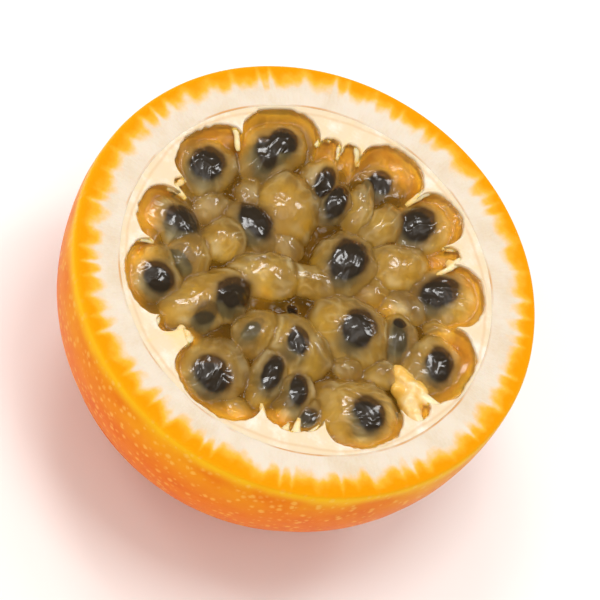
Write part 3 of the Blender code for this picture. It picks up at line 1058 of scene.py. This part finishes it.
# Soft strands that run in from the folds: points on the face in mm, half widths at both ends in mm,
# and how far under the face the tip lies.
strands = [
    ([(-9.2, 25.2), (-9.5, 22.8), (-9.8, 20.6)], 0.9, 0.25, 1.0),
    ([(-7.0, 24.6), (-6.5, 22.8), (-6.1, 21.0)], 0.8, 0.25, 1.2),
    ([(-5.2, 25.4), (-4.2, 23.6), (-3.0, 21.9)], 0.9, 0.25, 1.4),
    ([(7.6, 25.4), (6.9, 23.4), (6.1, 21.2)], 0.8, 0.25, 1.2),
    ([(16.4, 20.2), (15.2, 19.0), (13.8, 18.2)], 0.8, 0.25, 1.0),
    ([(17.2, 18.0), (16.4, 16.2), (15.4, 13.9)], 0.7, 0.22, 1.2),
    ([(26.8, -5.2), (24.6, -4.9), (22.8, -4.4)], 0.8, 0.6, 0.7),
    ([(25.8, -9.2), (24.2, -8.4), (22.6, -6.8)], 0.8, 0.5, 0.9),
    ([(13.0, -23.0), (13.1, -20.8), (13.3, -18.4)], 1.0, 0.22, 0.9),
    ([(12.0, -24.0), (11.0, -21.8), (10.4, -19.5)], 1.3, 0.22, 0.8),
    ([(9.6, -25.0), (9.4, -22.8), (9.6, -21.0)], 0.8, 0.25, 1.1),
    ([(7.6, -25.2), (6.0, -23.0), (4.6, -20.7)], 0.9, 0.22, 1.2),
    ([(-10.8, -21.0), (-11.0, -19.2), (-10.9, -17.4)], 1.3, 0.4, 0.9),
    ([(-9.6, -20.6), (-9.3, -19.2), (-9.0, -17.8)], 0.8, 0.3, 1.2),
    ([(-14.2, -21.6), (-14.4, -20.0), (-14.8, -18.3)], 0.5, 0.3, 1.0),
    ([(-24.2, -10.0), (-22.9, -9.2), (-21.2, -8.4)], 0.8, 0.25, 1.0),
    ([(-25.8, 1.0), (-23.6, 1.1), (-21.1, 0.7)], 0.9, 0.3, 1.1),
    ([(-25.8, 3.3), (-24.2, 3.4), (-22.3, 3.2)], 0.6, 0.25, 1.2),
    ([(-22.4, 17.2), (-20.6, 15.2), (-18.6, 12.8)], 0.9, 0.25, 1.2),
]

# Soft lumps where strands end: x, y and radius in mm, and how far under the face the top lies.
lumps = [
    (18.8, -3.2, 1.6, 0.9),
    (20.4, -3.9, 1.9, 0.6),
    (21.6, -4.6, 2.4, 0.4),
    (22.6, -6.2, 2.1, 0.4),
    (23.5, -7.8, 1.7, 0.4),
    (24.3, -9.0, 1.3, 0.5),
    (22.9, -4.2, 1.3, 0.6),
    (20.2, -5.4, 1.4, 0.8),
    (-24.0, 1.0, 0.9, 0.5),
    (-23.0, 2.5, 0.7, 0.7),
    (-10.0, -18.6, 0.9, 0.6),
    (15.9, 16.8, 0.7, 0.7),
    (-8.9, 22.9, 0.8, 0.5),
]

funicleShape = {
    "voxel": 0.16 * mm,
    "smoothing": 7,
    "rings": 22,
    "sides": 12,
    "startFullness": 1.15,
    "endFullness": 1.4,
    "flatness": 0.8,
    "under": 0.25,
    "waver": 0.25,
    "lumpRoughness": 0.2,
    "lumpGrain": 0.16,
}


def lumpShare(place):
    # 1 in the middle of a lump, falling to nothing at its side, seen from above.
    x = place.x / mm
    y = place.y / mm
    return max(math.exp(-((x - lx) ** 2 + (y - ly) ** 2) / radius ** 2) for lx, ly, radius, _ in lumps)


def makeFunicles():
    top = fruit["faceHeight"] / mm
    body = bmesh.new()
    for number, (route, startWidth, endWidth, drop) in enumerate(strands):
        rings = []
        count = funicleShape["rings"]
        for step in range(count):
            t = step / (count - 1)
            (ax, ay), (bx, by), (cx, cy) = route
            x = (1 - t) ** 2 * ax + 2 * t * (1 - t) * bx + t * t * cx
            y = (1 - t) ** 2 * ay + 2 * t * (1 - t) * by + t * t * cy
            dx = 2 * (1 - t) * (bx - ax) + 2 * t * (cx - bx)
            dy = 2 * (1 - t) * (by - ay) + 2 * t * (cy - by)
            length = math.hypot(dx, dy)
            x += funicleShape["waver"] * noise.noise((number * 3.1, t * 3.0, 0.5)) * t
            y += funicleShape["waver"] * noise.noise((number * 3.1, t * 3.0, 9.5)) * t
            start = funicleShape["startFullness"] * startWidth
            end = funicleShape["endFullness"] * endWidth
            wide = (start + (end - start) * t ** 0.8) * (1.0 + 0.35 * noise.noise((number, t * 4.0, 2.0)))
            high = wide * funicleShape["flatness"]
            z = top - funicleShape["under"] - high - drop * t * t
            ring = []
            for side in range(funicleShape["sides"]):
                a = 2.0 * math.pi * side / funicleShape["sides"]
                out = wide * math.cos(a)
                ring.append(body.verts.new(((x - dy / length * out) * mm, (y + dx / length * out) * mm,
                                            (z + high * math.sin(a)) * mm)))
            rings.append(ring)
        for ring, following in zip(rings, rings[1:]):
            for i in range(len(ring)):
                j = (i + 1) % len(ring)
                body.faces.new((ring[i], ring[j], following[j], following[i]))
        body.faces.new(rings[0][::-1])
        body.faces.new(rings[-1])
    for x, y, radius, under in lumps:
        place = Matrix.Translation((x * mm, y * mm, (top - under - radius) * mm))
        grown = bmesh.ops.create_icosphere(body, subdivisions=3, radius=radius * mm, matrix=place)
        for vertex in grown["verts"]:
            away = vertex.co - place.translation
            rough = funicleShape["lumpRoughness"] * noise.noise(vertex.co * 520.0)
            rough += funicleShape["lumpGrain"] * noise.noise(vertex.co * 1300.0)
            vertex.co = place.translation + away * (1.0 + rough)
    bmesh.ops.recalc_face_normals(body, faces=body.faces)
    mesh = bpy.data.meshes.new("funicles")
    body.to_mesh(mesh)
    body.free()
    piece = bpy.data.objects.new("funicles", mesh)
    bpy.context.scene.collection.objects.link(piece)
    remesh = piece.modifiers.new("remesh", "REMESH")
    remesh.mode = "VOXEL"
    remesh.voxel_size = funicleShape["voxel"]
    remesh.use_smooth_shade = True
    soften = piece.modifiers.new("soften", "SMOOTH")
    soften.factor = 0.5
    soften.iterations = funicleShape["smoothing"]
    plainMesh(piece)
    piece.data.materials.append(fibreMaterial)
    places = [vertex.co for vertex in piece.data.vertices]
    setValues(piece, "depth", [0.2 + 0.9 * (top - place.z / mm) + 0.7 * lumpShare(place) for place in places])
    return piece


funiclePiece = makeFunicles()

print("seeds")

seedShape = {
    "Detail": 5,
    "Pit Size": 900.0,
    "Pit Depth": 0.05 * mm,
    "Unevenness": 0.25 * mm,
    "thickness": 0.55,
    "size": 0.8,
    "deepest": 2.0,
    "sink": 0.6,
    "cover": 0.35,
    "tilt": 6.0,
}


def setInput(modifier, tree, name, value):
    for item in tree.interface.items_tree:
        if item.item_type == "SOCKET" and item.in_out == "INPUT" and item.name == name:
            modifier[item.identifier] = value


def makeSeedTree():
    # A pitted flat oval on every point, turned and sized by the point's own values.
    tree = bpy.data.node_groups.new("seedsOnPoints", "GeometryNodeTree")
    tree.interface.new_socket("Geometry", in_out="INPUT", socket_type="NodeSocketGeometry")
    tree.interface.new_socket("Geometry", in_out="OUTPUT", socket_type="NodeSocketGeometry")
    for name, kind in (("Detail", "NodeSocketInt"), ("Pit Size", "NodeSocketFloat"),
                       ("Pit Depth", "NodeSocketFloat"), ("Unevenness", "NodeSocketFloat"),
                       ("Skin", "NodeSocketMaterial")):
        tree.interface.new_socket(name, in_out="INPUT", socket_type=kind)
    start = tree.nodes.new("NodeGroupInput").outputs
    body = addNode(tree, "GeometryNodeMeshIcoSphere", None, Radius=1.0, Subdivisions=start["Detail"])
    turn = addNode(tree, "GeometryNodeInputNamedAttribute", {"data_type": "FLOAT_VECTOR"}, Name="turn")
    size = addNode(tree, "GeometryNodeInputNamedAttribute", {"data_type": "FLOAT_VECTOR"}, Name="size")
    place = addNode(tree, "GeometryNodeInstanceOnPoints", None, Points=start["Geometry"],
                    Instance=body.outputs[0], Rotation=turn.outputs[0], Scale=size.outputs[0])
    real = addNode(tree, "GeometryNodeRealizeInstances", None, Geometry=place.outputs[0])
    pits = addNode(tree, "ShaderNodeTexVoronoi", {"feature": "SMOOTH_F1"}, Scale=start["Pit Size"],
                   Smoothness=0.4)
    waves = addNode(tree, "ShaderNodeTexNoise", None, Scale=330.0, Detail=1.0)
    dent = product(tree, mathNode(tree, "SUBTRACT", pits.outputs["Distance"], 0.5), start["Pit Depth"])
    bulge = product(tree, mathNode(tree, "SUBTRACT", waves.outputs[0], 0.5), start["Unevenness"])
    normal = addNode(tree, "GeometryNodeInputNormal").outputs[0]
    offset = addNode(tree, "ShaderNodeVectorMath", {"operation": "SCALE"}, i0=normal)
    tree.links.new(mathNode(tree, "ADD", dent, bulge), offset.inputs["Scale"])
    rough = addNode(tree, "GeometryNodeSetPosition", None, Geometry=real.outputs[0], Offset=offset.outputs[0])
    shade = addNode(tree, "GeometryNodeSetShadeSmooth", None, Geometry=rough.outputs[0])
    finish = addNode(tree, "GeometryNodeSetMaterial", None, Geometry=shade.outputs[0], Material=start["Skin"])
    end = tree.nodes.new("NodeGroupOutput")
    tree.links.new(finish.outputs[0], end.inputs[0])
    return tree


def makeSeeds():
    top = fruit["faceHeight"] / mm
    rng = random.Random(4)
    line = np.linspace(-1.0, 1.0, 11)
    u, v = [grid.ravel() for grid in np.meshgrid(line, line)]
    inside = u * u + v * v <= 1.0
    u = u[inside]
    v = v[inside]
    points = []
    turns = []
    sizes = []
    for x, y, halfLength, halfWidth, turn, under in seeds:
        if under > seedShape["deepest"]:
            continue
        halfLength *= seedShape["size"]
        halfWidth *= seedShape["size"]
        thick = seedShape["thickness"] * halfWidth
        # As high as it goes with the jelly still over all of it, then down by how deep it lies.
        c = math.cos(math.radians(turn))
        s = math.sin(math.radians(turn))
        along = u * halfLength
        across = v * halfWidth
        jellyTop = jellyHeight(x + along * c - across * s, y + along * s + across * c)
        seedTop = thick * np.sqrt(np.clip(1.0 - u * u - v * v, 0.0, 1.0))
        z = np.min(jellyTop - seedTop) - seedShape["sink"] * under - seedShape["cover"]
        points.append((x * mm, y * mm, (top + z) * mm))
        tilt = math.radians(rng.uniform(-seedShape["tilt"], seedShape["tilt"]))
        turns += [0.0, tilt, math.radians(turn)]
        sizes += [halfLength * mm, halfWidth * mm, thick * mm]
    piece = addPiece("seeds", points, [], seedMaterial)
    for name, values in (("turn", turns), ("size", sizes)):
        attribute = piece.data.attributes.new(name, "FLOAT_VECTOR", "POINT")
        attribute.data.foreach_set("vector", values)
    tree = makeSeedTree()
    modifier = piece.modifiers.new("seeds", "NODES")
    modifier.node_group = tree
    for name in ("Detail", "Pit Size", "Pit Depth", "Unevenness"):
        setInput(modifier, tree, name, seedShape[name])
    setInput(modifier, tree, "Skin", seedMaterial)
    return plainMesh(piece)


seedPiece = makeSeeds()

for piece, slotName in ((rindPiece, "rind"), (liningPiece, "lining"), (funiclePiece, "lining"),
                        (jellyPiece, "pulp"), (corePiece, "pulp"), (seedPiece, "pulp")):
    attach(piece, "root")
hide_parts("rind")
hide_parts("lining")
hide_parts("pulp")

print("stage")

stageLook = {
    "elevation": 57.85,
    "roll": 34.07,
    "distance": 3.0,
    "lens": 1245.0,
    "aim": (0.0009, -0.0025, 0.0364),
    "floor": rgb(250, 248, 246),
}


def makeFloor():
    material, tree, shader = newMaterial("paleFloor")
    setShader(tree, shader, {"Base Color": stageLook["floor"], "Roughness": 0.6})
    half = 3.0
    points = [(-half, -half, 0.0), (half, -half, 0.0), (half, half, 0.0), (-half, half, 0.0)]
    floor = addPiece("floor", points, [(0, 1, 2, 3)], material, smooth=False)


def addLight(name, azimuth, elevation, distance, size, power, colour=(1.0, 1.0, 1.0), glossy=True):
    # Azimuth runs round the fruit from +X, as angles on the cut face do.
    a = math.radians(azimuth)
    e = math.radians(elevation)
    direction = Vector((math.cos(a) * math.cos(e), math.sin(a) * math.cos(e), math.sin(e)))
    lamp = bpy.data.lights.new(name, "AREA")
    lamp.shape = "RECTANGLE"
    lamp.size = size[0]
    lamp.size_y = size[1]
    lamp.energy = power
    lamp.color = colour
    light = bpy.data.objects.new(name, lamp)
    light.location = direction * distance + Vector((0.0, 0.0, 0.03))
    light.rotation_mode = "QUATERNION"
    light.rotation_quaternion = direction.to_track_quat("Z", "Y")
    light.visible_camera = False
    light.visible_glossy = glossy
    bpy.context.scene.collection.objects.link(light)


def makeLights():
    addLight("overhead", 270.0, 87.0, 1.0, (0.3, 0.3), 3.5, (1.0, 0.985, 0.96), glossy=False)
    addLight("key", 150.0, 62.0, 1.0, (0.2, 0.3), 1.7)
    addLight("rightSoft", 58.0, 56.0, 0.9, (0.15, 0.24), 0.9)
    addLight("backGlint", 128.0, 60.0, 0.9, (0.08, 0.14), 0.3)
    addLight("leftGlint", 205.0, 54.0, 0.9, (0.07, 0.16), 0.35)
    addLight("frontFill", 250.0, 42.0, 1.2, (0.9, 0.9), 1.8, glossy=False)
    world = bpy.data.worlds.new("studio")
    world.use_nodes = True
    # Reflections see a dim warm room, as if most of it were the fruit and the table.
    tree = world.node_tree
    room = tree.nodes["Background"]
    room.inputs[0].default_value = (1.0, 0.985, 0.97, 1.0)
    room.inputs[1].default_value = 0.62
    mirrored = addNode(tree, "ShaderNodeBackground", None, Color=(1.0, 0.84, 0.56, 1.0), Strength=0.16)
    glossy = addNode(tree, "ShaderNodeLightPath").outputs["Is Glossy Ray"]
    both = addNode(tree, "ShaderNodeMixShader", None, i0=glossy, i1=room.outputs[0], i2=mirrored.outputs[0])
    tree.links.new(both.outputs[0], tree.nodes["World Output"].inputs["Surface"])
    bpy.context.scene.world = world


def makeCamera():
    e = math.radians(stageLook["elevation"])
    back = Vector((0.0, -math.cos(e), math.sin(e)))
    lens = bpy.data.cameras.new("camera")
    lens.lens = stageLook["lens"]
    lens.sensor_width = 36.0
    lens.clip_start = 0.01
    lens.clip_end = 20.0
    camera = bpy.data.objects.new("camera", lens)
    camera.location = Vector(stageLook["aim"]) + back * stageLook["distance"]
    facing = (-back).to_track_quat("-Z", "Y").to_matrix().to_4x4()
    roll = Matrix.Rotation(math.radians(stageLook["roll"]), 4, "Z")
    camera.matrix_world = Matrix.Translation(camera.location) @ facing @ roll
    bpy.context.scene.collection.objects.link(camera)
    bpy.context.scene.camera = camera


makeFloor()
makeLights()
makeCamera()
bpy.context.scene.view_settings.view_transform = "Standard"
